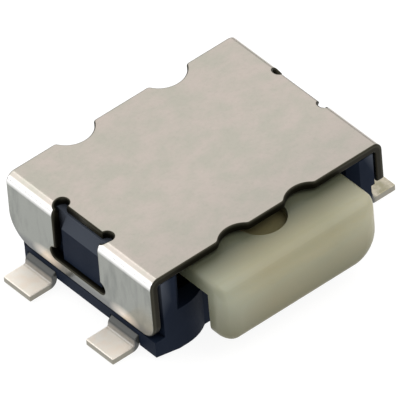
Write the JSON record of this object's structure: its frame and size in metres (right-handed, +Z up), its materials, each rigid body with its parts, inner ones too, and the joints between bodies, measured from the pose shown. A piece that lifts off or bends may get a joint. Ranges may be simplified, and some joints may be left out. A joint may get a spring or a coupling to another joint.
{
  "type": "tactile push button switch",
  "caption": "Low surface-mount tactile switch pressed from the side: bent metal cover over a moulded base, sliding button and gull-wing feet.",
  "frame": {"origin": "middle of the body's footprint, on the board plane under the flat underside", "axes": "+X along the body's long side, +Y from the button to the rear, +Z up from the board"},
  "size_m": [0.0058, 0.0044, 0.0016],
  "materials": {
    "cover_steel": "satin, faint rolling marks",
    "housing_resin": "fine matte, blue-black",
    "plunger_resin": "satin, ivory",
    "presser_resin": "satin, pale",
    "film": "clear amber film",
    "dome_steel": "bright",
    "plated_strip": "bright plating, warm"
  },
  "bodies": {
    "base": {"cover": "cover_steel", "housing": "housing_resin", "film": "film", "dome": "dome_steel", "centre_contact": "plated_strip", "outer_contact": "plated_strip"},
    "plunger": {"plunger": "plunger_resin"},
    "presser": {"presser": "presser_resin"}
  },
  "joints": [
    {"name": "plunger_slide", "type": "slide", "parent": "base", "child": "plunger", "axis": [0, 1, 0], "range_m": [0, 0.0002], "stiffness_N_per_m": 8000},
    {"name": "presser_slide", "type": "slide", "parent": "base", "child": "presser", "axis": [0, 0, -1], "range_m": [0, 0.0002], "deforming": ["dome", "film"]}
  ],
  "couplings": [
    {"joint": "presser_slide", "follows": "plunger_slide", "ratio": 1}
  ]
}
